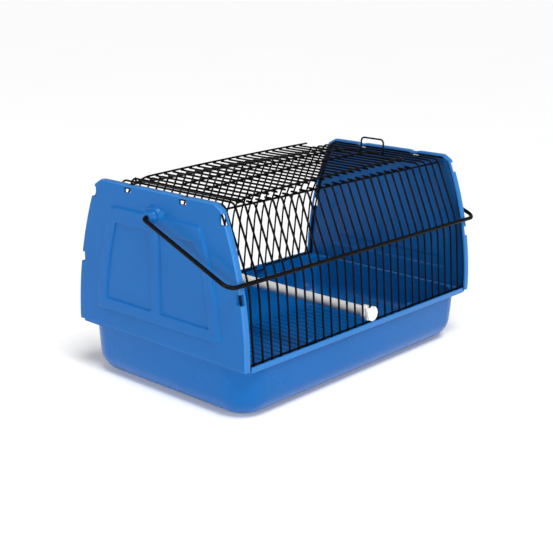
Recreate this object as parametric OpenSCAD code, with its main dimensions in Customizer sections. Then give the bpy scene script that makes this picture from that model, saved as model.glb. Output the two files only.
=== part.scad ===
/* [Body] */
// Length over the outer faces of the end panels
body_l = 300; // [280:5:360]
// Width over the end panels at their foot
body_w = 190.2; // [184:0.2:196]
// Height from the underside of the tub to the top of the end panels
body_h = 167; // [165:1:170]
// Radius of the curve that leans the front and back inwards
side_r = 285; // [270:5:320]
// Height at which the front and back start to lean
lean_z = 46.4; // [44:0.2:50]
// Radius of the top corners of the end panels
corner_r = 9; // [8:0.5:12]

/* [Tub] */
// Half length of the tub wall under the rim
tub_half_l = 147.5; // [137:0.5:148]
// Half width of the tub wall under the rim
tub_half_w = 92; // [88:0.5:92]
// Height of the tub wall up to the rim
tub_h = 43; // [40:1:43]
// Radius of the upright corners of the tub
tub_corner_r = 27; // [24:1:34]
// Radius between the walls and the underside
tub_foot_r = 19; // [14:1:20]
// How far the walls lean in over their height
tub_draft = 2.8; // [1.5:0.1:3.5]
// Wall thickness of the mouldings
wall_t = 2; // [1.8:0.1:2.2]
// Spacing of the low ribs on the floor
floor_rib_pitch = 8.6; // [7:0.1:12]

/* [Grille] */
// Diameter of the grille wires
wire_d = 1.8; // [1.6:0.1:1.9]
// Number of upright wires between the two end hoops
wire_count = 28; // [28]
// Distance between the outermost of those wires, centre to centre
wire_span = 275; // [255:1:276]
// Number of full hoops at the left, beside the door's hinge
left_hoops = 3; // [3]
// Number of full hoops at the right, under the latch
right_hoops = 4; // [4]
// Height of the wire centres over the full hoops
hoop_top_z = 163.6; // [163:0.1:163.8]
// Height of the cut ends of the wires beside the door
cut_top_z = 160.8; // [160.6:0.1:161]
// Distance of the two end hoops inside the end panel outline
end_inset = 3.25; // [3.1:0.05:3.4]

/* [Door] */
// Half distance between the outer door rails
door_half_w = 56; // [52:1:57]
// Half distance between the two legs of the pull loop
latch_half_w = 12.7; // [10:0.1:16]
// Number of evenly spaced cross wires
door_wires = 21; // [21]
// Spacing of those cross wires
door_pitch = 9.55; // [9.4:0.05:9.6]
// Radius of the hinge eye at the centre of its wire
eye_r = 2.3; // [2.2:0.05:2.4]

/* [Handle] */
// Diameter of the handle wire
handle_d = 3.4; // [3:0.1:3.6]
// Distance from the pivot to the grip bar
handle_reach = 97.2; // [97:0.2:105]
// Height of the handle pivot
pivot_z = 147.3; // [146:0.1:149]
// How far below level the handle hangs when it rests on the front
handle_drop = 22.2; // [22:0.1:22.4]

/* [Perch] */
// Diameter of the perch rod
perch_d = 9; // [8:0.2:10]
// Diameter of the moulded caps on its ends
cap_d = 12.4; // [11:0.2:12.6]
// Height of the perch axis
perch_z = 54.4; // [54.4:0.2:56]

/* [Hidden] */

blue = [0.13, 0.38, 0.70];
black = [0.05, 0.05, 0.05];
ivory = [0.86, 0.86, 0.84];
half_l = body_l / 2;
wire_r = wire_d / 2;
wire_pitch = wire_span / (wire_count - 1);
gap = 0.3;

// Outline of the end panels: two long side arcs, two corner arcs and a level top
side_y = side_r - body_w / 2;
corner_z = body_h - corner_r;
corner_y = sqrt(pow(side_r - corner_r, 2) - pow(corner_z - lean_z, 2)) - side_y;
corner_a = atan2(corner_z - lean_z, corner_y + side_y);
// Half width of the outline, moved in by d, at height z
function half_w(z, d = 0) = sqrt(pow(side_r - d, 2) - pow(z - lean_z, 2)) - side_y;
function arc_points(c, r, a0, a1, n) =
    [for (i = [0 : n]) let (a = a0 + (a1 - a0) * i / n) c + r * [cos(a), sin(a)]];
function half_outline(d, foot_z) = concat(
    arc_points([-side_y, lean_z], side_r - d, asin((foot_z - lean_z) / (side_r - d)), corner_a, 12),
    arc_points([corner_y, corner_z], corner_r - d, corner_a + 10, 90, 6));
function flip(points) = [for (i = [len(points) - 1 : -1 : 0]) [-points[i][0], points[i][1]]];
function outline(d, foot_z) = let (half = half_outline(d, foot_z)) concat(half, flip(half));

// Solid of a YZ outline between x0 and x1
module slab(points, x0, x1) {
    translate([x0, 0, 0]) rotate([90, 0, 90]) linear_extrude(x1 - x0) polygon(points);
}
// Plain block from one corner to the other
module block(low, high) {
    translate(low) cube(high - low);
}
// The same thing at the back and, mirrored, at the front
module front_and_back() {
    for (s = [0, 1]) mirror([0, s, 0]) children();
}

/* ---- base tub ---- */
tub_top_z = 45.2;
band_top_z = 47.5;
band_half_w = body_w / 2 - 0.4;
lip_half = [half_l - 1, body_w / 2 - 1.2];
lip_low_z = tub_h;

// One corner of the drafted tub, as a solid of revolution
module tub_corner(r_top, r_foot, z0, z1) {
    r_low = r_top - tub_draft;
    rotate_extrude($fn = 32) polygon(concat(
        [[0, z0], [r_low - r_foot, z0]],
        arc_points([r_low - r_foot, z0 + r_foot], r_foot, -75, 0, 5),
        [[r_top, z1], [0, z1]]));
}
module tub_form(inset, z0, z1) {
    r_top = tub_corner_r - inset;
    cx = tub_half_l - tub_corner_r;
    cy = tub_half_w - tub_corner_r;
    hull() for (x = [-cx, cx], y = [-cy, cy])
        translate([x, y, 0]) tub_corner(r_top, tub_foot_r - inset, z0, z1);
}
module rounded_block(half, r, z0, z1) {
    translate([0, 0, z0]) linear_extrude(z1 - z0) union() {
        square([2 * half[0] - 2 * r, 2 * half[1]], center = true);
        square([2 * half[0], 2 * half[1] - 2 * r], center = true);
        for (x = [-1, 1], y = [-1, 1])
            translate([x * (half[0] - r), y * (half[1] - r)]) circle(r, $fn = 32);
    }
}
floor_rib_count = 27;
floor_rib_l = 128;
band_inner_y = 93.2;
rail_clip_x = [-66, 66];
rail_clip_l = 11;
rail_clip_y = 87.6;
module base_tub() {
    color(blue) union() {
        difference() {
            union() {
                tub_form(0, 0, tub_h + 1);
                rounded_block(lip_half, 5, lip_low_z, tub_top_z);
            }
            tub_form(wall_t, wall_t, tub_top_z + 1);
        }
        front_and_back() {
            block([-half_l + 7.5, band_inner_y, lip_low_z], [half_l - 7.5, band_half_w, band_top_z]);
            for (x = rail_clip_x) {
                block([x - rail_clip_l / 2, rail_clip_y, lip_low_z],
                    [x + rail_clip_l / 2, lip_half[1] - 1, tub_top_z - 0.2]);
                block([x - rail_clip_l / 2, rail_clip_y, lip_low_z],
                    [x + rail_clip_l / 2, rail_clip_y + 0.9, band_top_z + 1.6]);
            }
        }
        for (i = [0 : floor_rib_count - 1])
            translate([(i - (floor_rib_count - 1) / 2) * floor_rib_pitch, 0, wall_t + 0.2])
                cube([2, floor_rib_l, 1.4], center = true);
    }
}

/* ---- end panels ---- */
flange_depth = 5.5;
panel_foot_z = tub_top_z + 0.1;
field_proud = 1.8;
field_inset = 24.5;
field_z = [60, 148.6];
window_z = [70.6, 135.6];
window_inset = 34.5;
band_half = 4.6;
clip_z = [[95.3, 103.7], [151.9, 160.3]];
clip_top_y = 30.8;
boss_tip = 8.4;
boss_bore_r = handle_d / 2 + 0.06;

// Outline moved in by d and cut off at two levels
function field(d, z0, z1) = concat(
    [for (i = [0 : 10]) let (z = z0 + (z1 - z0) * i / 10) [half_w(z, d), z]],
    [for (i = [10 : -1 : 0]) let (z = z0 + (z1 - z0) * i / 10) [-half_w(z, d), z]]);
// One of the two windows, on the +Y side of the upright band
function window(d) = concat(
    [[band_half - d, window_z[0] - d]],
    [for (i = [0 : 8]) let (z = window_z[0] - d + (window_z[1] - window_z[0] + 2 * d) * i / 8)
        [half_w(z, window_inset - d), z]],
    [[band_half - d, window_z[1] + d]]);
module windows(d, x0, x1) {
    front_and_back() slab(window(d), x0, x1);
}
// The left panel: its outer face is at -half_l
module panel_shell() {
    x0 = -half_l;
    difference() {
        union() {
            slab(outline(0, panel_foot_z), x0, x0 + wall_t);
            difference() {
                slab(outline(0, panel_foot_z), x0 + wall_t / 2, x0 + flange_depth);
                slab(outline(wall_t, panel_foot_z - 1), x0 + wall_t / 2 - 1, x0 + flange_depth + 1);
            }
            slab(field(field_inset, field_z[0], field_z[1]), x0 - field_proud, x0 + wall_t / 2);
            // boss for the handle end
            translate([x0 + wall_t / 2, 0, pivot_z]) rotate([0, -90, 0]) {
                cylinder(h = wall_t / 2 + boss_tip, r1 = 6.2, r2 = 4.6, $fn = 48);
                cylinder(h = wall_t / 2 + 2.6, r1 = 8.2, r2 = 5.8, $fn = 48);
            }
        }
        difference() {
            slab(field(field_inset + wall_t, field_z[0] + wall_t, field_z[1] - wall_t),
                x0 - field_proud + wall_t, x0 + wall_t + 1);
            windows(wall_t, x0 - 5, x0 + 5);
            translate([x0, 0, pivot_z]) rotate([0, 90, 0]) cylinder(h = 12, r = 10, center = true, $fn = 48);
        }
        windows(0, x0 - 5, x0 + 0.05);
        // clip windows on the front, back and top edges
        for (z = clip_z, s = [-1, 1])
            translate([x0 - 0.5, s * half_w((z[0] + z[1]) / 2, 1.6), z[0]])
                translate([0, -2.9, 0]) cube([4.3, 5.8, z[1] - z[0]]);
        for (s = [-1, 1])
            block([x0 - 0.5, s * clip_top_y - 3, body_h - 5.4], [x0 + 3.8, s * clip_top_y + 3, body_h - wall_t]);
        // blind bore of the pivot
        translate([x0 - boss_tip - 1, 0, pivot_z]) rotate([0, 90, 0])
            cylinder(h = boss_tip + 1.6, r = boss_bore_r, $fn = 48);
        // the corners stand clear of the lip
        for (s = [-1, 1])
            block([x0 - 1, s * 94.5 - 3, panel_foot_z - 1], [x0 + 7, s * 94.5 + 3, panel_foot_z + 0.6]);
    }
}
module left_end_panel() { color(blue) panel_shell(); }
module right_end_panel() { color(blue) mirror([1, 0, 0]) panel_shell(); }

/* ---- grille wires ---- */
// Every wire is a chain of straight and bent stretches with a ball in each joint
ball_r = wire_r + 0.03;
seat = 0.1;
low_lean = 5;
high_lean = 24;
knee = [86.5, 108];
knee_r = 70;
hoop_bend_r = 6;
cut_bend_r = 4.5;
cut_tip_y = 54.5;
wire_foot_z = tub_top_z + gap;

// Direction of a wire that leans in by a, in the YZ plane
function up_along(a) = [-sin(a), cos(a)];
function towards_centre(a) = [-cos(a), -sin(a)];
knee_length = knee_r * tan((high_lean - low_lean) / 2);
knee_low = knee - knee_length * up_along(low_lean);
knee_high = knee + knee_length * up_along(high_lean);
knee_centre = knee_low + knee_r * towards_centre(low_lean);
wire_foot = knee - (knee[1] - wire_foot_z) / cos(low_lean) * up_along(low_lean);
// Where the upper leg ends when its bend of radius r levels out at height z
function leg_top(z, r) = let (end_z = z - r + r * sin(high_lean))
    knee_high + (end_z - knee_high[1]) / cos(high_lean) * up_along(high_lean);

module ball(p) {
    translate([0, p[0], p[1]]) sphere(r = ball_r, $fn = 20);
}
// Straight stretch; its ends stay inside the balls, or square off at a free end
module stretch(p, q, seat_p = seat, seat_q = seat) {
    a = atan2(q[1] - p[1], q[0] - p[0]);
    translate([0, p[0], p[1]]) rotate([a - 90, 0, 0]) translate([0, 0, seat_p])
        cylinder(h = norm(q - p) - seat_p - seat_q, r = wire_r, $fn = 20);
}
// Bent stretch about c, angles counted from +Y towards +Z
module bend_yz(c, r, a0, a1) {
    trim = seat / r * 180 / PI;
    translate([0, c[0], c[1]]) rotate([90, 0, 90]) rotate([0, 0, a0 + trim])
        rotate_extrude(angle = a1 - a0 - 2 * trim, $fn = 144) translate([r, 0]) circle(wire_r, $fn = 20);
}
// Everything of one wire on the +Y side, up to where its level top begins
module wire_side(top_z, r) {
    top = leg_top(top_z, r);
    c = top + r * towards_centre(high_lean);
    stretch(wire_foot, knee_low, 0);
    bend_yz(knee_centre, knee_r, low_lean, high_lean);
    stretch(knee_high, top);
    bend_yz(c, r, high_lean, 90);
    for (p = [knee_low, knee_high, top, c + [0, r]]) ball(p);
}
function level_y(top_z, r) = leg_top(top_z, r)[0] - r * cos(high_lean);
module hoop(x) {
    y = level_y(hoop_top_z, hoop_bend_r);
    translate([x, 0, 0]) union() {
        front_and_back() wire_side(hoop_top_z, hoop_bend_r);
        stretch([y, hoop_top_z], [-y, hoop_top_z]);
    }
}
module cut_wire(x) {
    translate([x, 0, 0]) union() {
        wire_side(cut_top_z, cut_bend_r);
        stretch([level_y(cut_top_z, cut_bend_r), cut_top_z], [cut_tip_y, cut_top_z], seat, 0);
    }
}
function wire_x(i) = -wire_span / 2 + i * wire_pitch;
first_cut = left_hoops;
last_cut = wire_count - right_hoops - 1;
module left_hoop_wires() { color(black) for (i = [0 : first_cut - 1]) hoop(wire_x(i)); }
module right_hoop_wires() { color(black) for (i = [last_cut + 1 : wire_count - 1]) hoop(wire_x(i)); }
module back_wires() { color(black) for (i = [first_cut : last_cut]) cut_wire(wire_x(i)); }
module front_wires() { mirror([0, 1, 0]) back_wires(); }

// The two end hoops follow the end panels instead
end_hoop_x = half_l - wall_t - wire_r - 0.15;
end_low_a = asin((wire_foot_z - lean_z) / (side_r - end_inset));
end_bend_r = corner_r - end_inset;
module end_hoop(x) {
    shoulder = [-side_y, lean_z] + (side_r - end_inset) * [cos(corner_a), sin(corner_a)];
    level = [corner_y, body_h - end_inset];
    trim = seat / (side_r - end_inset) * 180 / PI;
    translate([x, 0, 0]) union() {
        front_and_back() {
            bend_yz([-side_y, lean_z], side_r - end_inset, end_low_a - trim, corner_a);
            bend_yz([corner_y, corner_z], end_bend_r, corner_a, 90);
            ball(shoulder);
            ball(level);
        }
        stretch(level, [-level[0], level[1]]);
    }
}
module left_end_hoop() { color(black) end_hoop(-end_hoop_x); }
module right_end_hoop() { color(black) end_hoop(end_hoop_x); }

// The rails are welded inside the wires
rail_half_l = end_hoop_x;
top_rail_back_y = 60.3;
top_rail_front_y = 57.5;
top_rail_z = cut_top_z - wire_d;
bottom_rail_z = 47;
bottom_rail_y = knee[0] + (knee[1] - bottom_rail_z) * tan(low_lean) - wire_d / cos(low_lean);
module rail(y, z) {
    color(black) translate([-rail_half_l, y, z]) rotate([0, 90, 0])
        cylinder(h = 2 * rail_half_l, r = wire_r, $fn = 20);
}
module back_top_rail() { rail(top_rail_back_y, top_rail_z); }
module front_top_rail() { rail(-top_rail_front_y, top_rail_z); }
module back_bottom_rail() { rail(bottom_rail_y, bottom_rail_z); }
module front_bottom_rail() { rail(-bottom_rail_y, bottom_rail_z); }

/* ---- door ---- */
door_wire_r = wire_r - 0.02;
hinge_x = wire_x(left_hoops - 1);
hinge_z = hoop_top_z;
door_first_x = -105;
door_hinge_wire_x = -112.8;
door_last_x = door_first_x + (door_wires - 1) * door_pitch;
door_rail_end_x = door_last_x + 8;
// Height of the sprung door rails: bowed, rising from the hinge to the latch
function door_z(x) = let (u = x + 78.3, v = max(0, -104.6 - x))
    165.5 + 0.037 * u - 0.0000915 * u * u - 0.0185 * v * v;
eye_points = [for (a = [90 : 18 : 288]) [hinge_x + eye_r * cos(a), hinge_z + eye_r * sin(a)]];
rail_points = [for (x = [-114.6, -112.8, -110, -106, -102, -95, -80, -45, -10, 25, 60, door_rail_end_x])
    [x, door_z(x)]];
function on_y(points, y) = [for (p = points) [p[0], y, p[1]]];

// Round wire along a list of points, as one closed skin of rings
function unit(v) = v / norm(v);
function tangent(p, i) = unit(p[min(i + 1, len(p) - 1)] - p[max(i - 1, 0)]);
function across(t) = unit(cross(t, abs(t[1]) > 0.9 ? [1, 0, 0] : [0, 1, 0]));
module wire_along(p, r, sides = 12) {
    n = len(p);
    rings = [for (i = [0 : n - 1]) let (t = tangent(p, i), u = across(t), v = cross(t, u))
        for (k = [0 : sides - 1]) p[i] + r * (cos(360 * k / sides) * u + sin(360 * k / sides) * v)];
    skin = [for (i = [0 : n - 2], k = [0 : sides - 1]) let (m = (k + 1) % sides)
        [i * sides + k, (i + 1) * sides + k, (i + 1) * sides + m, i * sides + m]];
    polyhedron(rings, concat([[for (k = [0 : sides - 1]) k]], skin,
        [[for (k = [sides - 1 : -1 : 0]) (n - 1) * sides + k]]));
}
module door_rail(y) { color(black) wire_along(on_y(concat(eye_points, rail_points), y), door_wire_r); }
module door_front_rail() { door_rail(-door_half_w); }
module door_back_rail() { door_rail(door_half_w); }

// Middle rail, over two hoops, down behind the second and up into the pull loop
latch_x = wire_x(wire_count - right_hoops + 1);
latch_start = [for (x = [-109, -104, -95, -80, -45, -10, 25, 55, 80]) [x, door_z(x)]];
latch_over = [[-24, 5.15], [-17.4, 4.6], [-12, 3.8], [-8, 2.95], [-4, 2.3], [0, 2.15], [1.7, 1.75], [2.6, 0.85],
    [3, -0.2], [3.7, -0.9], [4.4, -0.2], [4.6, 1], [4.6, 8]];
loop_top_z = 177;
loop_r = 3.6;
loop_x = latch_x + 4.6;
latch_side = concat(on_y(latch_start, latch_half_w),
    [for (q = latch_over) [latch_x + q[0], latch_half_w, hinge_z + q[1]]],
    [for (a = [0 : 18 : 90])
        [loop_x, latch_half_w - loop_r + loop_r * cos(a), loop_top_z - loop_r + loop_r * sin(a)]]);
latch_points = concat(latch_side, [for (i = [len(latch_side) - 1 : -1 : 0])
    [latch_side[i][0], -latch_side[i][1], latch_side[i][2]]]);
module door_latch_wire() { color(black) wire_along(latch_points, door_wire_r); }

// Short wires welded under the four long ones
cross_half = door_half_w + 2.6;
cross_xs = concat([door_hinge_wire_x], [for (i = [0 : door_wires - 1]) door_first_x + i * door_pitch]);
module door_cross_wires() {
    color(black) for (x = cross_xs)
        translate([x, cross_half, door_z(x) - 2 * door_wire_r + 0.03]) rotate([90, 0, 0])
            cylinder(h = 2 * cross_half, r = door_wire_r, $fn = 20);
}

/* ---- carry handle ---- */
elbow_r = 3.1;
arm_x = half_l + boss_tip + 0.2 + elbow_r;
grip_r = 8;
handle_r = handle_d / 2;
// Torus stretch about a point, in the plane of the handle
module bend(x, y, r, a0) {
    translate([x, y, 0]) rotate([0, 0, a0]) rotate_extrude(angle = 90, $fn = 96) translate([r, 0])
        circle(handle_r, $fn = 24);
}
// The handle lies in its own plane: x along the pivot, y towards the grip
module handle_half() {
    pin_x = half_l - 0.4;
    translate([pin_x, 0, 0]) rotate([0, 90, 0]) cylinder(h = arm_x - elbow_r - pin_x, r = handle_r, $fn = 24);
    bend(arm_x - elbow_r, elbow_r, elbow_r, -90);
    translate([arm_x, elbow_r, 0]) rotate([-90, 0, 0])
        cylinder(h = handle_reach - elbow_r - grip_r, r = handle_r, $fn = 24);
    bend(arm_x - grip_r, handle_reach - grip_r, grip_r, 0);
    translate([0, handle_reach, 0]) rotate([0, 90, 0]) cylinder(h = arm_x - grip_r, r = handle_r, $fn = 24);
}
module carry_handle() {
    color(black) translate([0, 0, pivot_z]) rotate([handle_drop, 0, 0]) mirror([0, 1, 0]) union() {
        handle_half();
        mirror([1, 0, 0]) handle_half();
    }
}

/* ---- perch ---- */
perch_x = wire_x(14);
rod_end = 84;
cap_y = 94.6;
channel_y = [89.5, 92.9];
channel_w = wire_d + 0.2;
notch_z = 3.8;
module perch_rod() {
    color(ivory) translate([perch_x, rod_end, perch_z]) rotate([90, 0, 0])
        cylinder(h = 2 * rod_end, r = perch_d / 2, $fn = 48);
}
// A thick disc that takes one wire in a channel; a notch shows the wire at the top
module perch_back_cap() {
    color(ivory) difference() {
        translate([perch_x, cap_y, perch_z]) rotate([90, 0, 0])
            cylinder(h = cap_y - rod_end, r = cap_d / 2, $fn = 48);
        block([perch_x - channel_w / 2, channel_y[0], perch_z - cap_d],
            [perch_x + channel_w / 2, channel_y[1], perch_z + cap_d]);
        block([perch_x - channel_w / 2, channel_y[1] - 1, perch_z + notch_z],
            [perch_x + channel_w / 2, cap_y + 1, perch_z + cap_d]);
    }
}
module perch_front_cap() { mirror([0, 1, 0]) perch_back_cap(); }

base_tub();
left_end_panel();
right_end_panel();
carry_handle();
perch_rod();
perch_front_cap();
perch_back_cap();
left_end_hoop();
right_end_hoop();
left_hoop_wires();
right_hoop_wires();
front_wires();
back_wires();
front_top_rail();
back_top_rail();
front_bottom_rail();
back_bottom_rail();
door_front_rail();
door_back_rail();
door_latch_wire();
door_cross_wires();
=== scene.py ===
from math import asin, atan2, cos, degrees, hypot, pi, radians, sin, sqrt, tan

import bpy
from mathutils import Matrix, Vector


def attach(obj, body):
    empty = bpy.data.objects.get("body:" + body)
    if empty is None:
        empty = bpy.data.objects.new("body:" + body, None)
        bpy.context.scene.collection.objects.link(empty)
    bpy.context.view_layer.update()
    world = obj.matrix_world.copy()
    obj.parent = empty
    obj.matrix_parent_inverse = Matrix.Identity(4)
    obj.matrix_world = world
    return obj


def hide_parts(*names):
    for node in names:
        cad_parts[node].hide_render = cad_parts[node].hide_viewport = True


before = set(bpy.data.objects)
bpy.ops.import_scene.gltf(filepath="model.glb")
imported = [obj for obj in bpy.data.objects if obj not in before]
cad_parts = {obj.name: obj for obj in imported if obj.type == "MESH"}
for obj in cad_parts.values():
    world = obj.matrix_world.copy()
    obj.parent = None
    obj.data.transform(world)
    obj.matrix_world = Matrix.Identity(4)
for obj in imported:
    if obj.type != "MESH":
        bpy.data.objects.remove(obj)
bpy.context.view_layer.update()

# Sizes are in millimetres, in the CAD's frame, unless a comment says metres.
# add_piece() and cutter() turn them into metres.
MM = 0.001

# End panels
BODY_H = 167.0
HALF_L = 150.0
HALF_W = 95.1
SIDE_R = 285.0
LEAN_Z = 46.4
CORNER_R = 9.0
PLATE_T = 2.0
FLANGE_DEPTH = 5.5
PANEL_FOOT_Z = 45.3
FIELD_PROUD = 1.8
FIELD_INSET = 24.5
FIELD_Z = (60.5, 148.6)
WINDOW_INSET = 34.5
WINDOW_Z = (70.6, 135.6)
WINDOW_HALF_BAND = 4.6
CLIP_Z = ((95.3, 103.7), (151.9, 160.3))
CLIP_TOP_Y = 30.8
PIVOT_Z = 147.3
BOSS_TIP = 8.4

# Tub
TUB_HALF = (147.5, 92.0)
TUB_H = 43.0
TUB_CORNER_R = 27.0
TUB_FOOT_R = 19.0
TUB_DRAFT = 2.8
LIP_HALF = (149.0, 93.9)
LIP_TOP_Z = 45.2
BAND_TOP_Z = 47.5
BAND_Y = (93.2, 94.7)
RAIL_CLIP_X = (-66.0, 66.0)
RIB_COUNT = 27
RIB_PITCH = 8.6
RIB_HALF = (1.1, 64.0)
RIB_Z = (1.4, 2.9)

# Grille
WIRE_R = 0.84
WIRE_COUNT = 28
WIRE_SPAN = 275.0
LEFT_HOOPS = 3
RIGHT_HOOPS = 4
LOW_LEAN = radians(5)
HIGH_LEAN = radians(24)
KNEE = (86.5, 108.0)
KNEE_R = 70.0
HOOP_TOP_Z = 163.6
HOOP_BEND_R = 6.0
HOOP_FLAT_Y = 20.0
CUT_TOP_Z = 160.8
CUT_BEND_R = 4.5
CUT_TIP_Y = 54.5
WIRE_FOOT_Z = 45.6
END_HOOP_X = 146.95
END_INSET = 3.25
TOP_RAILS = ((60.3, 159.0), (-57.5, 159.0))
BOTTOM_RAIL = (90.03, 47.0)
TOUCH = 0.85  # from a wire's centre to the middle of its weld
DOME = 0.55  # height of a wire's rounded end over its radius

# Door
DOOR_HALF_W = 56.0
LATCH_HALF_W = 12.7
CROSS_FIRST_X = -105.0
CROSS_HINGE_X = -112.8
CROSS_COUNT = 21
CROSS_PITCH = 9.55
CROSS_HALF = 58.6
CROSS_DROP = 1.73  # cross wires run this far under the rails
DOOR_WIRE_R = WIRE_R - 0.02
EYE_R = 2.3
LOOP_TOP_Z = 177.0
LOOP_R = 3.6
LOOP_OFFSET = 4.6  # from the hoop that the latch catches to the pull loop, along X

# Handle and perch
HANDLE_R = 1.7
HANDLE_REACH = 97.2
HANDLE_DROP = radians(22.2)
ARM_X = 161.7
HANDLE_TIP_X = 149.7
ELBOW_R = 3.1
GRIP_R = 8.0
PERCH_R = 4.5
PERCH_Z = 54.4
CAP_R = 6.2
ROD_END = 84.0
PERCH_WIRE = 14  # number of the wire that the caps grip

# Stage and camera: places in metres, turns in degrees (azimuth, elevation, roll)
FLOOR_REACH = 80.0
FLOOR_Z = -0.0002
CAMERA_PLACE = (-0.68706, -0.60017, 0.33235)
CAMERA_TURN = (48.4426, 16.1242, 0.7514)
CAMERA_LENS = 70.56

# Centres of the outline's side arc and corner arc, and the angle where they meet
SIDE_Y = SIDE_R - HALF_W
CORNER_Z = BODY_H - CORNER_R
CORNER_Y = sqrt((SIDE_R - CORNER_R) ** 2 - (CORNER_Z - LEAN_Z) ** 2) - SIDE_Y
CORNER_A = atan2(CORNER_Z - LEAN_Z, CORNER_Y + SIDE_Y)


def wire_x(i):
    """Place of upright wire i, counted from the left."""
    return -WIRE_SPAN / 2 + i * WIRE_SPAN / (WIRE_COUNT - 1)


def smooth_step(low, high, value):
    """0 below low, 1 above high and a smooth rise between them."""
    t = min(max((value - low) / (high - low), 0.0), 1.0)
    return t * t * (3 - 2 * t)


# ---- materials ----

def new_material(name, base, roughness, specular):
    """Principled material, its nodes and its shader."""
    material = bpy.data.materials.new(name)
    material.use_nodes = True
    tree = material.node_tree
    shader = tree.nodes["Principled BSDF"]
    shader.inputs["Base Color"].default_value = (*base, 1)
    shader.inputs["Roughness"].default_value = roughness
    shader.inputs["Specular IOR Level"].default_value = specular
    return material, tree, shader


def noise(tree, scale, detail, stretch=(1, 1, 1)):
    """Noise over the object's own coordinates, in metres."""
    place = tree.nodes.new("ShaderNodeTexCoord")
    mapping = tree.nodes.new("ShaderNodeMapping")
    mapping.inputs["Scale"].default_value = stretch
    texture = tree.nodes.new("ShaderNodeTexNoise")
    texture.inputs["Scale"].default_value = scale
    texture.inputs["Detail"].default_value = detail
    tree.links.new(place.outputs["Object"], mapping.inputs["Vector"])
    tree.links.new(mapping.outputs["Vector"], texture.inputs["Vector"])
    return texture.outputs["Fac"]


def vary(tree, fac, low, high, socket):
    """Drives a number socket between low and high."""
    spread = tree.nodes.new("ShaderNodeMapRange")
    spread.inputs["From Min"].default_value = 0.3
    spread.inputs["From Max"].default_value = 0.7
    spread.inputs["To Min"].default_value = low
    spread.inputs["To Max"].default_value = high
    tree.links.new(fac, spread.inputs["Value"])
    tree.links.new(spread.outputs["Result"], socket)


def tint(tree, fac, colour_a, colour_b, socket):
    """Drives a colour socket between two colours."""
    ramp = tree.nodes.new("ShaderNodeValToRGB")
    ramp.color_ramp.elements[0].position = 0.3
    ramp.color_ramp.elements[0].color = (*colour_a, 1)
    ramp.color_ramp.elements[1].position = 0.7
    ramp.color_ramp.elements[1].color = (*colour_b, 1)
    tree.links.new(fac, ramp.inputs["Fac"])
    tree.links.new(ramp.outputs["Color"], socket)


def bump(tree, shader, fac, distance):
    """Roughens the surface by a height texture; distance is in metres."""
    node = tree.nodes.new("ShaderNodeBump")
    node.inputs["Strength"].default_value = 0.4
    node.inputs["Distance"].default_value = distance
    tree.links.new(fac, node.inputs["Height"])
    tree.links.new(node.outputs["Normal"], shader.inputs["Normal"])


def moulded_plastic(name, light, dark, rough):
    """Injection-moulded plastic: faint flow marks, uneven gloss and a fine grain."""
    material, tree, shader = new_material(name, light, rough[0], specular=0.2)
    tint(tree, noise(tree, 9.0, 4.0, (1, 1, 2.5)), dark, light, shader.inputs["Base Color"])
    vary(tree, noise(tree, 45.0, 5.0), rough[0], rough[1], shader.inputs["Roughness"])
    bump(tree, shader, noise(tree, 900.0, 2.0), 0.00001)
    return material


def coated_wire(name, base):
    """Steel wire under a thick glossy coating, with a slight orange peel."""
    material, tree, shader = new_material(name, base, 0.2, specular=0.05)
    lighter = tuple(c * 1.7 + 0.001 for c in base)
    tint(tree, noise(tree, 160.0, 4.0), base, lighter, shader.inputs["Base Color"])
    vary(tree, noise(tree, 420.0, 3.0), 0.12, 0.22, shader.inputs["Roughness"])
    bump(tree, shader, noise(tree, 700.0, 3.0), 0.00002)
    return material


PANEL_BLUE = moulded_plastic("panel_plastic", (0.003, 0.112, 0.372), (0.002, 0.103, 0.345), (0.28, 0.40))
TUB_BLUE = moulded_plastic("tub_plastic", (0.002, 0.112, 0.378), (0.001, 0.103, 0.350), (0.20, 0.30))
# Lighter copy of the blue plastic for the panels' rounded edges and flanges and the rim bands: a painted
# highlight where these faces catch the light.
PAINTED_HIGHLIGHT_BLUE = moulded_plastic("edge_plastic_painted_highlight", (0.030, 0.180, 0.490), (0.022, 0.162, 0.455), (0.26, 0.36))
WIRE_BLACK = coated_wire("wire_paint", (0.0025, 0.0025, 0.003))
HANDLE_BLACK = coated_wire("handle_paint", (0.003, 0.003, 0.0035))
PERCH_WHITE = moulded_plastic("perch_plastic", (0.86, 0.86, 0.85), (0.80, 0.80, 0.79), (0.38, 0.52))


# ---- mesh building: a shape is (points, faces) ----

def join(*shapes):
    """Several shapes as one."""
    points = []
    faces = []
    for shape_points, shape_faces in shapes:
        start = len(points)
        points += shape_points
        faces += [tuple(start + i for i in face) for face in shape_faces]
    return points, faces


def mirror_shape(shape, axis):
    """The shape mirrored in one axis, with its faces still outwards."""
    points, faces = shape
    flipped = [tuple(-c if k == axis else c for k, c in enumerate(p)) for p in points]
    return flipped, [tuple(reversed(face)) for face in faces]


def rings_shape(rings, close_start=True, close_end=True):
    """Skin over closed rings of equal length."""
    size = len(rings[0])
    points = [tuple(p) for ring in rings for p in ring]
    faces = []
    for row in range(len(rings) - 1):
        for k in range(size):
            a = row * size + k
            b = row * size + (k + 1) % size
            faces.append((a, b, b + size, a + size))
    if close_start:
        faces.append(tuple(reversed(range(size))))
    if close_end:
        faces.append(tuple(range((len(rings) - 1) * size, len(rings) * size)))
    return points, faces


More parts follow.
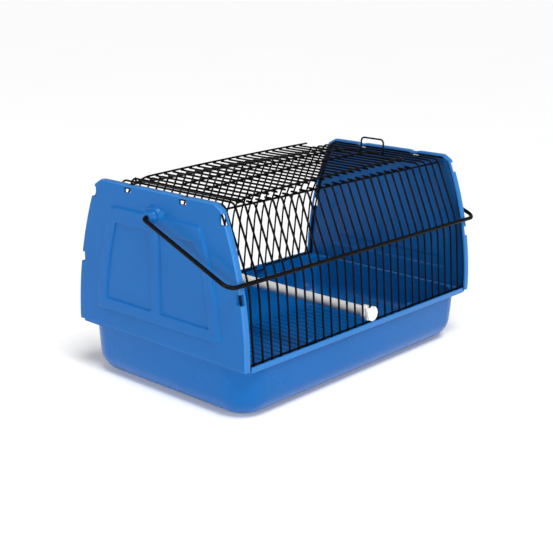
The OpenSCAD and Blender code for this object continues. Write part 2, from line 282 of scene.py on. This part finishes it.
def tube(path, radius, sides=12):
    """Round wire along a path, with softly domed ends that stop where the path stops."""
    path = [Vector(p) for p in path]
    last = len(path) - 1
    tangents = [(path[min(i + 1, last)] - path[max(i - 1, 0)]).normalized() for i in range(last + 1)]
    side = tangents[0].orthogonal().normalized()
    dome = [(radius * cos(radians(a)), DOME * radius * (1 - sin(radians(a)))) for a in (80, 55, 28, 0)]
    rings = []
    for i, (point, tangent) in enumerate(zip(path, tangents)):
        side = (side - tangent * side.dot(tangent)).normalized()
        other = tangent.cross(side)
        steps = [(radius, 0.0)]
        if i == 0:
            steps = dome
        if i == last:
            steps = [(r, -shift) for r, shift in reversed(dome)]
        for r, shift in steps:
            centre = point + tangent * shift
            rings.append([centre + r * (cos(2 * pi * k / sides) * side + sin(2 * pi * k / sides) * other)
                          for k in range(sides)])
    return rings_shape(rings)


def rounded_path(corners, radii, step=8.0):
    """Path through corners, each rounded to its radius; step is the turn per point in degrees."""
    corners = [Vector(c) for c in corners]
    path = [corners[0]]
    for before, corner, after, radius in zip(corners, corners[1:], corners[2:], radii):
        d1 = (corner - before).normalized()
        d2 = (after - corner).normalized()
        turn = d1.angle(d2)
        count = max(3, int(degrees(turn) / step))
        centre_dir = (d2 - d1).normalized()
        centre = corner + centre_dir * (radius / cos(turn / 2))
        arm = -centre_dir
        along = (d1 + d2).normalized()
        for k in range(count + 1):
            a = -turn / 2 + turn * k / count
            path.append(centre + radius * (cos(a) * arm + sin(a) * along))
    path.append(corners[-1])
    return path


def curve_through(knots, per_span=4):
    """Smooth path through knots (Catmull-Rom)."""
    knots = [Vector(k) for k in knots]
    padded = [2 * knots[0] - knots[1]] + knots + [2 * knots[-1] - knots[-2]]
    path = []
    for p0, p1, p2, p3 in zip(padded, padded[1:], padded[2:], padded[3:]):
        for k in range(per_span):
            t = k / per_span
            path.append(0.5 * (2 * p1 + (p2 - p0) * t + (2 * p0 - 5 * p1 + 4 * p2 - p3) * t ** 2
                               + (3 * p1 - p0 - 3 * p2 + p3) * t ** 3))
    path.append(knots[-1])
    return path


def revolve(profile, centre, axis, sides=40):
    """Profile of (distance along the axis, radius) turned about an axis through centre."""
    axis = Vector(axis)
    side = axis.orthogonal().normalized()
    other = axis.cross(side)
    spokes = [cos(2 * pi * k / sides) * side + sin(2 * pi * k / sides) * other for k in range(sides)]
    return rings_shape([[Vector(centre) + axis * d + r * spoke for spoke in spokes] for d, r in profile])


def soft_box(low, high, r, steps=3):
    """Box with all its edges rounded to radius r: level loops of a rounded rectangle."""
    cx, cy = (low[0] + high[0]) / 2, (low[1] + high[1]) / 2
    hx, hy = (high[0] - low[0]) / 2, (high[1] - low[1]) / 2
    turns = [pi / 2 * (1 - k / steps) for k in range(steps + 1)]
    levels = [(low[2] + r * (1 - sin(a)), r * (1 - cos(a))) for a in turns]
    levels += [(high[2] + low[2] - z, inset) for z, inset in reversed(levels)]
    rings = []
    for z, inset in levels:
        loop = rounded_rect(hx - inset, hy - inset, r - inset * 0.9, steps)
        rings.append([(cx + x, cy + y, z) for x, y in loop])
    return rings_shape(rings)


def rounded_rect(hx, hy, r, steps=9):
    """Counter-clockwise loop of a rounded rectangle about the origin."""
    loop = []
    for quarter, (sx, sy) in enumerate(((1, 1), (-1, 1), (-1, -1), (1, -1))):
        for k in range(steps + 1):
            a = pi / 2 * (quarter + k / steps)
            loop.append((sx * (hx - r) + r * cos(a), sy * (hy - r) + r * sin(a)))
    return loop


def weld(point, radius=0.78):
    """Small bead where two wires are welded."""
    turns = [pi * (1 - k / 6) for k in range(7)]
    profile = [(radius * cos(a), radius * sin(a) + 0.001) for a in turns]
    return revolve(profile, point, (0, 0, 1), 8)


def add_piece(name, shape, material, body, nodes, smooth_angle=50.0):
    """Object made from a shape in mm, which stands for CAD nodes and rides on a body."""
    points, faces = shape
    mesh = bpy.data.meshes.new(name)
    mesh.from_pydata([tuple(c * MM for c in p) for p in points], [], faces)
    mesh.validate()
    mesh.update()
    mesh.materials.append(material)
    piece = bpy.data.objects.new(name, mesh)
    bpy.context.scene.collection.objects.link(piece)
    mesh.polygons.foreach_set("use_smooth", [True] * len(mesh.polygons))
    mesh.set_sharp_from_angle(angle=radians(smooth_angle))
    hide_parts(*nodes)
    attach(piece, body)
    return piece


# ---- grille ----

def leg_y(z):
    """Wire centre's distance from the middle at height z on the lower leg."""
    return KNEE[0] + (KNEE[1] - z) * tan(LOW_LEAN)


def wire_side(top_z, bend_r, tip_y):
    """Path of one wire on the +Y side: foot, knee, bend, and in to tip_y."""
    foot = (0, leg_y(WIRE_FOOT_Z), WIRE_FOOT_Z)
    shoulder = (0, KNEE[0] - (top_z - KNEE[1]) * tan(HIGH_LEAN), top_z)
    return rounded_path([foot, (0, *KNEE), shoulder, (0, tip_y, top_z)], [KNEE_R, bend_r], 4.0)


def at_x(path, x):
    return [Vector((x, p[1], p[2])) for p in path]


def flip_y(path):
    return [Vector((p[0], -p[1], p[2])) for p in path]


def hoop_path(x):
    """Full hoop: up one side, over the top and down the other."""
    side = wire_side(HOOP_TOP_Z, HOOP_BEND_R, HOOP_FLAT_Y)
    return at_x(side + list(reversed(flip_y(side))), x)


def cut_path(x, sign):
    """Wire of one side only, which ends beside the door opening."""
    side = wire_side(CUT_TOP_Z, CUT_BEND_R, CUT_TIP_Y)
    return at_x(side if sign > 0 else flip_y(side), x)


def end_hoop_path(x):
    """Hoop just inside the panel's outline: up one side arc, round the corner, over and down."""
    low = asin((WIRE_FOOT_Z - LEAN_Z) / (SIDE_R - END_INSET))
    arc = [low + (CORNER_A - low) * k / 24 for k in range(25)]
    side = [(0, -SIDE_Y + (SIDE_R - END_INSET) * cos(a), LEAN_Z + (SIDE_R - END_INSET) * sin(a)) for a in arc]
    bend = [CORNER_A + (pi / 2 - CORNER_A) * k / 8 for k in range(1, 9)]
    r = CORNER_R - END_INSET
    side += [(0, CORNER_Y + r * cos(a), CORNER_Z + r * sin(a)) for a in bend]
    return at_x(side + list(reversed(flip_y(side))), x)


def wires(paths, radius=WIRE_R):
    return join(*[tube(path, radius) for path in paths])


def rail_shape(y, z, contact, xs):
    """Long wire with a weld bead at every upright that it touches."""
    line = [(-END_HOOP_X, y, z), (-60, y, z), (60, y, z), (END_HOOP_X, y, z)]
    beads = [weld((x, y + contact[0], z + contact[1])) for x in xs]
    return join(tube(line, WIRE_R), *beads)


FIRST_CUT = LEFT_HOOPS
LAST_CUT = WIRE_COUNT - RIGHT_HOOPS - 1
CUT_XS = [wire_x(i) for i in range(FIRST_CUT, LAST_CUT + 1)]
ALL_XS = [wire_x(i) for i in range(WIRE_COUNT)]


def add_grille():
    spec = {
        "left_hoop_wires": [hoop_path(wire_x(i)) for i in range(LEFT_HOOPS)],
        "right_hoop_wires": [hoop_path(wire_x(i)) for i in range(LAST_CUT + 1, WIRE_COUNT)],
        "front_wires": [cut_path(x, -1) for x in CUT_XS],
        "back_wires": [cut_path(x, 1) for x in CUT_XS],
        "left_end_hoop": [end_hoop_path(-END_HOOP_X)],
        "right_end_hoop": [end_hoop_path(END_HOOP_X)],
    }
    for node, paths in spec.items():
        add_piece(node + "_visual", wires(paths), WIRE_BLACK, "crate", [node])
    for node, (y, z) in zip(("back_top_rail", "front_top_rail"), TOP_RAILS):
        shape = rail_shape(y, z, (0, TOUCH), CUT_XS)
        add_piece(node + "_visual", shape, WIRE_BLACK, "crate", [node])
    y, z = BOTTOM_RAIL
    for node, sign in (("back_bottom_rail", 1), ("front_bottom_rail", -1)):
        shape = rail_shape(sign * y, z, (sign * TOUCH, 0), ALL_XS)
        add_piece(node + "_visual", shape, WIRE_BLACK, "crate", [node])


# ---- door ----

def door_z(x):
    """Height of the sprung door rails, from the hinge to the latch."""
    u = x + 78.3
    v = max(0.0, -104.6 - x)
    return 165.5 + 0.037 * u - 0.0000915 * u * u - 0.0185 * v * v


def door_rail_path(y):
    """Open eye round the hinge hoop, then the sprung rail to past the last cross wire."""
    hinge = wire_x(LEFT_HOOPS - 1)
    turns = [radians(a) for a in range(135, 290, 12)]
    eye = [(hinge + EYE_R * cos(a), y, HOOP_TOP_Z + EYE_R * sin(a)) for a in turns]
    end_x = CROSS_FIRST_X + (CROSS_COUNT - 1) * CROSS_PITCH + 8
    xs = [-114.6, -113.6, -112.6, -111, -109, -106, -102] + [-95 + k * (end_x + 95) / 14 for k in range(15)]
    return eye + [(x, y, door_z(x)) for x in xs]


def latch_path():
    """Middle rails, over two hoops, down behind the second and up into the pull loop."""
    latch_x = wire_x(WIRE_COUNT - RIGHT_HOOPS + 1)
    start = [(x, LATCH_HALF_W, door_z(x)) for x in (-109, -104, -95, -80, -45, -10, 25, 55, 80)]
    over = [(-24, 5.15), (-17.4, 4.6), (-12, 3.8), (-8, 2.95), (-4, 2.3), (0, 2.15), (1.7, 1.75), (2.6, 0.85),
            (3, -0.2), (3.7, -0.9), (4.4, -0.2), (LOOP_OFFSET, 1), (LOOP_OFFSET, 4)]
    knots = start + [(latch_x + x, LATCH_HALF_W, HOOP_TOP_Z + z) for x, z in over]
    side = curve_through(knots)
    top = (latch_x + LOOP_OFFSET, LATCH_HALF_W, LOOP_TOP_Z)
    side += rounded_path([side[-1], top, (top[0], 0, top[2])], [LOOP_R], 10.0)[1:]
    return side + list(reversed(flip_y(side)))[1:]


def add_door():
    xs = [CROSS_HINGE_X] + [CROSS_FIRST_X + k * CROSS_PITCH for k in range(CROSS_COUNT)]
    bars = [[(x, y, door_z(x) - CROSS_DROP) for y in (-CROSS_HALF, -20, 20, CROSS_HALF)] for x in xs]
    shape = wires(bars, DOOR_WIRE_R)
    add_piece("door_cross_wires_visual", shape, WIRE_BLACK, "door", ["door_cross_wires"])
    for node, y in (("door_front_rail", -DOOR_HALF_W), ("door_back_rail", DOOR_HALF_W)):
        beads = [weld((x, y, door_z(x) - CROSS_DROP / 2)) for x in xs]
        shape = join(tube(door_rail_path(y), DOOR_WIRE_R), *beads)
        add_piece(node + "_visual", shape, WIRE_BLACK, "door", [node])
    beads = [weld((x, y, door_z(x) - CROSS_DROP / 2)) for x in xs[1:] for y in (-LATCH_HALF_W, LATCH_HALF_W)]
    shape = join(tube(latch_path(), DOOR_WIRE_R), *beads)
    add_piece("door_latch_wire_visual", shape, WIRE_BLACK, "door", ["door_latch_wire"])


# ---- handle ----

def add_handle():
    """Drawn level with the pivot along X, then turned down onto its rest."""
    corners = [(HANDLE_TIP_X, 0, 0), (ARM_X, 0, 0), (ARM_X, -HANDLE_REACH, 0), (0, -HANDLE_REACH, 0)]
    half = rounded_path(corners, [ELBOW_R, GRIP_R], 6.0)
    path = half + [Vector((-p.x, p.y, p.z)) for p in reversed(half[:-1])]
    place = Matrix.Translation((0, 0, PIVOT_Z)) @ Matrix.Rotation(HANDLE_DROP, 4, "X")
    add_piece("carry_handle_visual", tube([place @ p for p in path], HANDLE_R, 24), HANDLE_BLACK, "handle",
              ["carry_handle"])


# ---- perch ----

def perch_cap(sign, x):
    """Spool-shaped cap: disc inside the wires, split plate and thumb pad outside them."""
    axis = (0, 1, 0)
    disc = revolve([(84, 4.9), (84, CAP_R - 0.7), (84.2, CAP_R - 0.2), (84.7, CAP_R), (88.8, CAP_R),
                    (89.2, CAP_R - 0.2), (89.4, CAP_R - 0.7), (89.4, 0.5)], (x, 0, PERCH_Z), axis)
    lobes = [soft_box((x + s * 3.3 - 2.2, 88.9, PERCH_Z - 5.0), (x + s * 3.3 + 2.2, 93.2, PERCH_Z + 5.0), 0.9)
             for s in (-1, 1)]
    # outline of the outer plate, from the right of the notch round to its left, then down the notch
    notch = asin(1.2 / CAP_R)
    turn = [pi / 2 - notch - (2 * pi - 2 * notch) * k / 40 for k in range(41)]
    ring = [(CAP_R * cos(a), CAP_R * sin(a)) for a in turn]
    ring += [(-1.2, 4.6), (-0.9, 4.2), (0.9, 4.2), (1.2, 4.6)]
    plate = rings_shape([[(x + u * k, y, PERCH_Z + v * k) for u, v in ring] for y, k in
                         ((92.2, 0.9), (92.35, 0.97), (92.8, 1.0), (93.9, 1.0), (94.3, 0.96), (94.5, 0.86))])
    pad = soft_box((x - 1.9, 93.6, PERCH_Z - 4.3), (x + 1.9, 95.2, PERCH_Z + 2.6), 0.75)
    shape = join(disc, *lobes, plate, pad)
    return shape if sign > 0 else mirror_shape(shape, 1)


def add_perch():
    x = wire_x(PERCH_WIRE)
    rod = revolve([(-ROD_END, PERCH_R - 0.1), (-60, PERCH_R), (60, PERCH_R), (ROD_END, PERCH_R - 0.1)],
                  (x, 0, PERCH_Z), (0, 1, 0), 48)
    add_piece("perch_rod_visual", rod, PERCH_WHITE, "crate", ["perch_rod"])
    for node, sign in (("perch_front_cap", -1), ("perch_back_cap", 1)):
        add_piece(node + "_visual", perch_cap(sign, x), PERCH_WHITE, "crate", [node])


# ---- end panels ----

def side_w(z, inset=0.0):
    """Half width inside the side arc at height z."""
    return sqrt((SIDE_R - inset) ** 2 - (z - LEAN_Z) ** 2) - SIDE_Y


def full_w(z, inset=0.0):
    """Half width of the whole outline, corner arcs included."""
    if z <= LEAN_Z + (SIDE_R - inset) * sin(CORNER_A):
        return side_w(z, inset)
    r = CORNER_R - inset
    return CORNER_Y + sqrt(max(r * r - (z - CORNER_Z) ** 2, 0.0))


def rounded_inside(dy, dz, r):
    """Signed distance to a corner-rounded shape from the distances past its sides."""
    dy += r
    dz += r
    return hypot(max(dy, 0.0), max(dz, 0.0)) + min(max(dy, dz), 0.0) - r


def relief(y, z):
    """How far the panel's face stands out at (y, z): raised field, two sunk windows, flare of the boss."""
    y = abs(y)
    field = rounded_inside(y - side_w(z, FIELD_INSET), max(FIELD_Z[0] - z, z - FIELD_Z[1]), 4.5)
    sunk = rounded_inside(max(y - side_w(z, WINDOW_INSET), WINDOW_HALF_BAND - y),
                          max(WINDOW_Z[0] - z, z - WINDOW_Z[1]), 2.0)
    height = FIELD_PROUD * (1 - smooth_step(-1.5, 0.3, field))
    height -= (FIELD_PROUD - 0.1) * (1 - smooth_step(-0.9, 0.3, sunk))
    flare = hypot(y, z - PIVOT_Z)
    return max(height, 3.1 * (1 - smooth_step(7.4, 8.8, flare)))


def spread(knots, fine, fine_half, coarse):
    """Ascending values with fine steps round each inner knot and coarse ones between."""
    values = {knots[0], knots[-1]}
    for knot in knots[1:-1]:
        count = int(fine_half / fine)
        values |= {round(knot + k * fine, 4) for k in range(-count, count + 1)}
    ordered = sorted(v for v in values if knots[0] <= v <= knots[-1])
    filled = []
    for a, b in zip(ordered, ordered[1:]):
        parts = max(1, int((b - a) / coarse + 0.5))
        filled += [a + (b - a) * k / parts for k in range(parts)]
    return filled + [ordered[-1]]


EDGE_R = 1.1
TOP_Z = BODY_H - EDGE_R
ROW_KNOTS = [PANEL_FOOT_Z + 0.4, FIELD_Z[0] + 0.8, WINDOW_Z[0], WINDOW_Z[1], 139.5, 147.3, 155.0, TOP_Z]
COLUMN_KNOTS = [0.0, 0.12, 0.62, 0.78, 1.0]


def column_y(t, z):
    """y of a column at height z; columns keep to the windows' and the field's edges."""
    marks = [0.0, WINDOW_HALF_BAND, side_w(z, WINDOW_INSET), side_w(z, FIELD_INSET), full_w(z, EDGE_R)]
    for (t0, t1), (y0, y1) in zip(zip(COLUMN_KNOTS, COLUMN_KNOTS[1:]), zip(marks, marks[1:])):
        if t <= t1:
            return y0 + (y1 - y0) * (t - t0) / (t1 - t0)
    return marks[-1]


def dent(y, z):
    """The top edge dips a little over the two top windows."""
    hollow = 1 - smooth_step(2.5, 5.5, abs(abs(y) - CLIP_TOP_Y))
    return z - 1.1 * hollow * smooth_step(BODY_H - 5.5, BODY_H, z)


def panel_shape():
    """Left panel as one closed skin: face grid with its relief, rounded edge, flange and inner face.

    Also returns which faces make up the edge and the flange.
    """
    rows = spread(ROW_KNOTS, 0.55, 3.3, 3.5)
    half = spread(COLUMN_KNOTS, 0.0085, 0.034, 0.05)
    columns = [-t for t in reversed(half[1:])] + half
    points = []
    faces = []

    def grid(face_x, depth_share, flip):
        start = len(points)
        for z in rows:
            for t in columns:
                y = column_y(abs(t), z) * (1 if t >= 0 else -1)
                points.append((face_x - depth_share * relief(y, z), y, dent(y, z)))
        wide = len(columns)
        for r in range(len(rows) - 1):
            for c in range(wide - 1):
                a = start + r * wide + c
                quad = (a, a + 1, a + wide + 1, a + wide)
                faces.append(quad if flip else tuple(reversed(quad)))
        bottom = [start + c for c in range(wide)]
        right = [start + r * wide + wide - 1 for r in range(1, len(rows))]
        top = [start + (len(rows) - 1) * wide + c for c in range(wide - 2, -1, -1)]
        left = [start + r * wide for r in range(len(rows) - 2, 0, -1)]
        return bottom + right + top + left, len(bottom)

    loop, foot_count = grid(-HALF_L, 1.0, False)
    first_edge = len(faces)
    base = [points[i] for i in loop]
    count = len(loop)
    normals = []
    for k in range(count):
        (_, y0, z0), (_, y1, z1) = base[k - 1], base[(k + 1) % count]
        length = hypot(y1 - y0, z1 - z0)
        normals.append(((z1 - z0) / length, -(y1 - y0) / length))
    depth = [PLATE_T if 0 < k < foot_count - 1 else FLANGE_DEPTH for k in range(count)]
    profile = []
    for k in range(1, 5):
        a = pi / 2 * k / 4
        profile.append((EDGE_R * sin(a), EDGE_R * (1 - cos(a)), False))
    profile += [(EDGE_R, -0.35, True), (EDGE_R - 0.12, -0.1, True), (EDGE_R - 0.4, 0.0, True)]
    profile += [(EDGE_R - 1.6, 0.0, True), (EDGE_R - 1.88, -0.1, True), (EDGE_R - PLATE_T, -0.4, True)]
    previous = loop
    for out, back, at_end in profile:
        start = len(points)
        for (x, y, z), (ny, nz), deep in zip(base, normals, depth):
            push = out if (deep > PLATE_T or nz > -0.5) else min(out, 0.4)
            points.append((-HALF_L + (deep + back if at_end else back), y + ny * push, z + nz * push))
        ring = [start + k for k in range(count)]
        for k in range(count):
            n = (k + 1) % count
            faces.append((previous[k], previous[n], ring[n], ring[k]))
        previous = ring
    last_edge = len(faces)
    inner_loop, _ = grid(-HALF_L + PLATE_T, 0.2, True)
    for k in range(count):
        n = (k + 1) % count
        faces.append((previous[k], previous[n], inner_loop[n], inner_loop[k]))
    return (points, faces), range(first_edge, last_edge)


def boss_shape():
    """Tapered boss that takes the handle's end, with a small ring at its root."""
    root = [(-0.5, 6.3), (1.8, 6.3), (2.2, 6.15), (2.7, 5.7)]
    tip = [(BOSS_TIP - 1.0, 4.75), (BOSS_TIP - 0.35, 4.6), (BOSS_TIP - 0.08, 4.3), (BOSS_TIP, 3.9)]
    hole = [(BOSS_TIP, 2.2), (BOSS_TIP - 0.3, 1.85), (1.0, 1.8)]
    profile = root + tip + hole
    return revolve(profile, (-HALF_L, 0, PIVOT_Z), (-1, 0, 0), 48)


def cutter(low, high, name):
    """Rounded block for one clip window; add_panel removes it after the cut."""
    mesh = bpy.data.meshes.new(name)
    points, faces = soft_box(low, high, 0.5)
    mesh.from_pydata([tuple(c * MM for c in p) for p in points], [], faces)
    tool = bpy.data.objects.new(name, mesh)
    bpy.context.scene.collection.objects.link(tool)
    return tool


def clip_windows(sign):
    """Blocks that cut the clip windows out of the panel at sign * X."""
    boxes = []
    near, far = sorted((sign * (HALF_L + 3), sign * (HALF_L - 3.8)))
    for z0, z1 in CLIP_Z:
        middle = side_w((z0 + z1) / 2)
        for s in (-1, 1):
            y0, y1 = sorted((s * (middle - 4.2), s * (middle + 2.5)))
            boxes.append(((near, y0, z0), (far, y1, z1)))
    for y in (-CLIP_TOP_Y, CLIP_TOP_Y):
        boxes.append(((near, y - 3.7, BODY_H - 6.4), (far, y + 3.7, BODY_H - 2.0)))
    return boxes


def add_panel(node, sign):
    """End panel and its boss; sign is the side of the crate along X."""
    shape, edge_faces = panel_shape()
    boss = boss_shape()
    if sign > 0:
        shape = mirror_shape(shape, 0)
        boss = mirror_shape(boss, 0)
    piece = add_piece(node + "_visual", shape, PANEL_BLUE, "crate", [node], 40.0)
    # The rounded edge and flange faces take the lighter blue, a painted highlight.
    piece.data.materials.append(PAINTED_HIGHLIGHT_BLUE)
    for k in edge_faces:
        piece.data.polygons[k].material_index = 1
    tools = [cutter(low, high, "cutter") for low, high in clip_windows(sign)]
    for tool in tools:
        cut = piece.modifiers.new("cut", "BOOLEAN")
        cut.operation = "DIFFERENCE"
        cut.solver = "EXACT"
        cut.object = tool
    graph = bpy.context.evaluated_depsgraph_get()
    result = bpy.data.meshes.new_from_object(piece.evaluated_get(graph))
    piece.modifiers.clear()
    piece.data = result
    result.set_sharp_from_angle(angle=radians(35))
    for tool in tools:
        bpy.data.objects.remove(tool)
    add_piece(node + "_boss", boss, PANEL_BLUE, "crate", [node], 40.0)


# ---- tub ----

def tub_shape():
    """Outer skin from the underside up to the lip, over it and down the inside to the floor."""
    def level(half, inset, corner_r, z):
        return [(x, y, z) for x, y in rounded_rect(half[0] - inset, half[1] - inset, corner_r - inset)]

    def wall(z, extra):
        return level(TUB_HALF, TUB_DRAFT * (1 - z / TUB_H) + extra, TUB_CORNER_R, z)

    def lip(inset, z):
        return level(LIP_HALF, inset, 5.0, z)

    turns = [pi / 2 * (1 - k / 9) for k in range(10)]
    rings = []
    for a in turns:
        z = TUB_FOOT_R * (1 - sin(a))
        rings.append(wall(z, TUB_FOOT_R * (1 - cos(a))))
    rings += [wall(z, 0) for z in (24, 30, 36, 41, TUB_H - 0.4)]
    rings += [lip(0.5, TUB_H), lip(0.12, TUB_H + 0.1), lip(0, TUB_H + 0.4), lip(0, LIP_TOP_Z - 0.5),
              lip(0.14, LIP_TOP_Z - 0.14), lip(0.5, LIP_TOP_Z)]
    thick = PLATE_T
    rings.append(level((TUB_HALF[0] + 0.5, TUB_HALF[1] + 0.5), thick, TUB_CORNER_R, LIP_TOP_Z))
    rings.append(level(TUB_HALF, thick, TUB_CORNER_R, LIP_TOP_Z - 0.5))
    rings += [wall(z, thick) for z in (40, 34, 28, 22)]
    inner_r = TUB_FOOT_R - thick
    for a in reversed(turns):
        z = thick + inner_r * (1 - sin(a))
        rings.append(wall(z, thick + inner_r * (1 - cos(a))))
    return rings_shape(rings)


def tub_bands():
    """Upstanding band along the front and the back of the rim."""
    band = soft_box((-HALF_L + 7.5, BAND_Y[0], TUB_H), (HALF_L - 7.5, BAND_Y[1], BAND_TOP_Z), 0.6)
    return join(band, mirror_shape(band, 1))


def tub_details():
    """Clips over the bottom rails, and the ribs of the floor."""
    shapes = []
    for x in RAIL_CLIP_X:
        foot = soft_box((x - 5.5, 87.6, TUB_H), (x + 5.5, 92.9, LIP_TOP_Z), 0.4)
        tongue = soft_box((x - 5.5, 87.6, TUB_H), (x + 5.5, 88.6, BAND_TOP_Z + 1.6), 0.4)
        for shape in (foot, tongue):
            shapes += [shape, mirror_shape(shape, 1)]
    half_w, half_l = RIB_HALF
    for k in range(RIB_COUNT):
        x = (k - (RIB_COUNT - 1) / 2) * RIB_PITCH
        shapes.append(soft_box((x - half_w, -half_l, RIB_Z[0]), (x + half_w, half_l, RIB_Z[1]), 0.6))
    return join(*shapes)


def add_tub():
    add_piece("base_tub_visual", tub_shape(), TUB_BLUE, "crate", ["base_tub"], 40.0)
    # The rim bands take the lighter blue, a painted highlight.
    add_piece("base_tub_bands", tub_bands(), PAINTED_HIGHLIGHT_BLUE, "crate", ["base_tub"], 40.0)
    add_piece("base_tub_details", tub_details(), TUB_BLUE, "crate", ["base_tub"], 40.0)


# ---- stage, lights and camera ----

def add_area(name, place, target, size, energy):
    """White rectangular lamp that points at a target; places are in metres."""
    light = bpy.data.lights.new(name, "AREA")
    light.shape = "RECTANGLE"
    light.size, light.size_y = size
    light.energy = energy
    lamp = bpy.data.objects.new(name, light)
    lamp.location = place
    lamp.rotation_euler = (Vector(target) - Vector(place)).to_track_quat("-Z", "Y").to_euler()
    bpy.context.scene.collection.objects.link(lamp)


def add_stage():
    """White paper floor just under the crate, out to the horizon, and an even white sky."""
    mesh = bpy.data.meshes.new("floor")
    corners = [(-1, -1), (1, -1), (1, 1), (-1, 1)]
    mesh.from_pydata([(x * FLOOR_REACH, y * FLOOR_REACH, FLOOR_Z) for x, y in corners], [], [(0, 1, 2, 3)])
    floor = bpy.data.objects.new("floor", mesh)
    bpy.context.scene.collection.objects.link(floor)
    material, tree, shader = new_material("floor_paper", (0.93, 0.93, 0.93), 0.8, specular=0.1)
    vary(tree, noise(tree, 3.0, 3.0), 0.75, 0.9, shader.inputs["Roughness"])
    shader.inputs["Emission Color"].default_value = (1, 1, 1, 1)
    shader.inputs["Emission Strength"].default_value = 0.12
    mesh.materials.append(material)
    world = bpy.data.worlds.new("studio")
    world.use_nodes = True
    background = world.node_tree.nodes["Background"]
    background.inputs["Color"].default_value = (1, 1, 1, 1)
    background.inputs["Strength"].default_value = 0.27
    bpy.context.scene.world = world
    bpy.context.scene.view_settings.view_transform = "Standard"


def add_lights():
    """Soft sun from above and in front, a lamp for the handle's shadow, two strips for the gloss."""
    sun = bpy.data.lights.new("soft_sky", "SUN")
    sun.energy = 2.4
    sun.angle = radians(25)
    lamp = bpy.data.objects.new("soft_sky", sun)
    lamp.rotation_euler = Vector((-0.25, -0.5, 1.0)).to_track_quat("Z", "Y").to_euler()
    bpy.context.scene.collection.objects.link(lamp)
    add_area("key_left", (-1.3, 0.8, 0.45), (-0.1, 0, 0.1), (0.4, 0.4), 2)
    add_area("strip_left", (-1.45, -0.25, 0.32), (0, 0, 0.05), (0.04, 0.5), 7)
    add_area("strip_front", (-0.18, -1.45, 0.32), (0, 0, 0.05), (0.04, 0.5), 7)


def add_camera():
    """Camera fitted to the photograph's view."""
    azimuth, elevation, roll = (radians(a) for a in CAMERA_TURN)
    forward = Vector((sin(azimuth) * cos(elevation), cos(azimuth) * cos(elevation), -sin(elevation)))
    right = Vector((cos(azimuth), -sin(azimuth), 0))
    up = Vector((sin(azimuth) * sin(elevation), cos(azimuth) * sin(elevation), cos(elevation)))
    rolled_right = cos(roll) * right + sin(roll) * up
    rolled_up = -sin(roll) * right + cos(roll) * up
    camera = bpy.data.cameras.new("camera")
    camera.lens = CAMERA_LENS
    camera.sensor_width = 36
    view = bpy.data.objects.new("camera", camera)
    turn = Matrix((rolled_right, rolled_up, -forward)).transposed()
    view.matrix_world = Matrix.Translation(CAMERA_PLACE) @ turn.to_4x4()
    bpy.context.scene.collection.objects.link(view)
    bpy.context.scene.camera = view


add_camera()
add_stage()
add_lights()
add_tub()
add_panel("left_end_panel", -1)
add_panel("right_end_panel", 1)
add_grille()
add_door()
add_handle()
add_perch()
